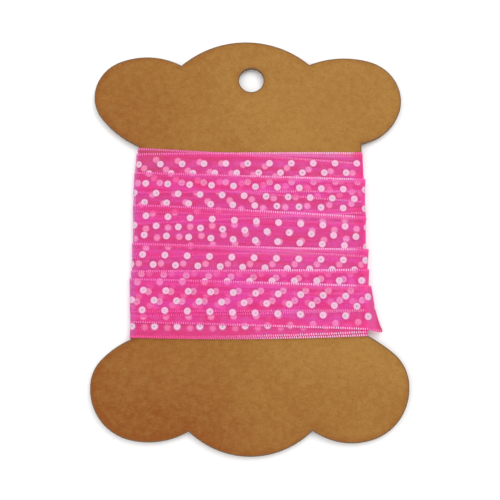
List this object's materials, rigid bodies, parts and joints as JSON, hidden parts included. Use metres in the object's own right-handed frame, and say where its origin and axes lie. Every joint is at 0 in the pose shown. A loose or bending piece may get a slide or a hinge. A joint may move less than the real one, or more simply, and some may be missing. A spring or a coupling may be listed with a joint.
{
  "type": "card of organza ribbon",
  "caption": "Lobed kraft card bobbin with a round hang hole, holding a sheer pink ribbon with white dots wound round its waist.",
  "frame": {"origin": "middle of the object's box, on the surface it lies on", "axes": "+Z out of the card's face, +Y along the card towards the hang hole, +X across the card to the right"},
  "size_m": [0.0764, 0.1016, 0.003],
  "materials": {
    "kraft_card": "matte kraft with fine fibres",
    "pink_organza": "sheer, with printed white dots and stitched selvages"
  },
  "bodies": {
    "root": {"card": "kraft_card", "ribbon_winding": "pink_organza"}
  },
  "joints": []
}
